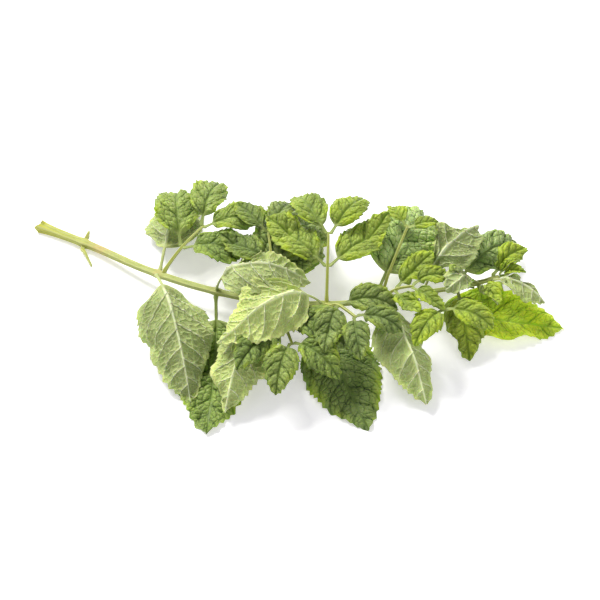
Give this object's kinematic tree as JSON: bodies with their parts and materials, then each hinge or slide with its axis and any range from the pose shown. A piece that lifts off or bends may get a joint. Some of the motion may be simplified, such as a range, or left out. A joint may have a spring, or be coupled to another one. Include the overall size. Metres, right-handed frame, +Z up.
{
  "type": "mint sprig",
  "caption": "Cut mint sprig lying flat: a curved square stem with opposite pairs of soft toothed oval leaves, leafy side shoots and a small bud of young leaves at the tip.",
  "frame": {"origin": "middle of the sprig's bounding box, on the table that it lies on", "axes": "+X from the cut end towards the tip, +Y from the near side to the far side, +Z up from the table"},
  "size_m": [0.2406, 0.1402, 0.0366],
  "materials": {
    "stem": "fresh green stem, square with soft ridges, yellow green, slightly glossy with fine hairs",
    "leaf_dark": "grown mint leaf, dark green quilted upper face with sunken veins and a matt sage underside with raised veins",
    "leaf_pale": "grown mint leaf lying face down, matt sage green underside with raised pale veins, dark green quilted upper face",
    "leaf_young": "young mint leaf, bright yellow green, slightly translucent, quilted upper face and paler underside"
  },
  "bodies": {
    "root": {"bud_leaf_far": "leaf_young", "bud_leaf_near": "leaf_young", "leaf_1_far": "leaf_pale", "leaf_1_near": "leaf_pale", "leaf_2_top": "leaf_pale", "leaf_2_under": "leaf_dark", "leaf_3_far": "leaf_dark", "leaf_3_near": "leaf_pale", "leaf_4_top": "leaf_pale", "leaf_4_under": "leaf_dark", "leaf_5_far": "leaf_dark", "leaf_5_near": "leaf_pale", "leaf_6_top": "leaf_pale", "leaf_6_under": "leaf_young", "leaf_7_far": "leaf_dark", "leaf_7_near": "leaf_young", "leaf_8_top": "leaf_pale", "leaf_8_under": "leaf_young", "leaf_9_far": "leaf_young", "leaf_9_near": "leaf_pale", "main_stem": "stem", "petiole_stub_far": "stem", "petiole_stub_near": "stem", "shoot_1_far_leaf_1_far": "leaf_dark", "shoot_1_far_leaf_1_near": "leaf_dark", "shoot_1_far_leaf_2_far": "leaf_dark", "shoot_1_far_leaf_2_near": "leaf_dark", "shoot_1_far_stem": "stem", "shoot_3_far_leaf_1_far": "leaf_dark", "shoot_3_far_leaf_1_near": "leaf_dark", "shoot_3_far_leaf_2_far": "leaf_dark", "shoot_3_far_leaf_2_near": "leaf_dark", "shoot_3_far_stem": "stem", "shoot_3_near_leaf_1_far": "leaf_dark", "shoot_3_near_leaf_1_near": "leaf_dark", "shoot_3_near_leaf_2_far": "leaf_dark", "shoot_3_near_leaf_2_near": "leaf_dark", "shoot_3_near_stem": "stem", "shoot_4_far_leaf_1_far": "leaf_young", "shoot_4_far_leaf_1_near": "leaf_young", "shoot_4_far_leaf_2_far": "leaf_young", "shoot_4_far_leaf_2_near": "leaf_young", "shoot_4_far_stem": "stem", "shoot_4_near_leaf_1_far": "leaf_dark", "shoot_4_near_leaf_1_near": "leaf_dark", "shoot_4_near_leaf_2_far": "leaf_dark", "shoot_4_near_leaf_2_near": "leaf_dark", "shoot_4_near_stem": "stem", "shoot_5_far_leaf_1_far": "leaf_young", "shoot_5_far_leaf_1_near": "leaf_young", "shoot_5_far_stem": "stem", "shoot_5_near_leaf_1_far": "leaf_young", "shoot_5_near_leaf_1_near": "leaf_young", "shoot_5_near_leaf_2_far": "leaf_young", "shoot_5_near_leaf_2_near": "leaf_young", "shoot_5_near_stem": "stem", "shoot_6_near_leaf_1_far": "leaf_young", "shoot_6_near_leaf_1_near": "leaf_young", "shoot_6_near_stem": "stem"}
  },
  "joints": []
}
